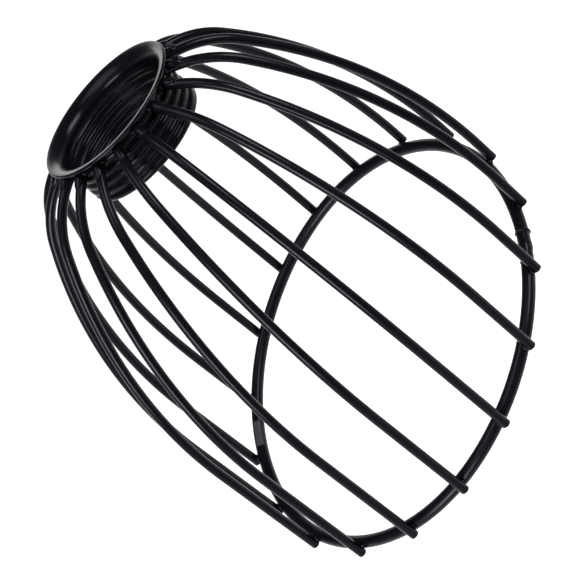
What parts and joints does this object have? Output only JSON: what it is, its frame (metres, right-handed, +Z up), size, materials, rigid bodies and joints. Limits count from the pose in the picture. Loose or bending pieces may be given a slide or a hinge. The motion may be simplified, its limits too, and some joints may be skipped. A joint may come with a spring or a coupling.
{
  "type": "bulb cage guard",
  "caption": "Wire bulb guard: bent ribs welded under a flared threaded collar and round an oblique mouth ring, to screw on a lamp holder and shield its bulb.",
  "frame": {"origin": "on the collar's axis at the top of its threaded sleeve, where the bell mouth begins", "axes": "+Z up along the collar's axis and out of its bell mouth, towards the lamp holder; the cage hangs below; +X towards the longest rib, so the mouth falls towards +X"},
  "size_m": [0.13, 0.1282, 0.14],
  "materials": {
    "collar_paint": "black semi-gloss paint on pressed sheet steel",
    "wire_paint": "black semi-gloss paint on welded steel wire"
  },
  "bodies": {
    "root": {"collar": "collar_paint", "base_ring": "wire_paint", "rib_01": "wire_paint", "rib_02": "wire_paint", "rib_03": "wire_paint", "rib_04": "wire_paint", "rib_05": "wire_paint", "rib_06": "wire_paint", "rib_07": "wire_paint", "rib_08": "wire_paint", "rib_09": "wire_paint", "rib_10": "wire_paint", "rib_11": "wire_paint", "rib_12": "wire_paint", "rib_13": "wire_paint", "rib_14": "wire_paint", "rib_15": "wire_paint", "rib_16": "wire_paint", "rib_17": "wire_paint", "rib_18": "wire_paint"}
  },
  "joints": []
}
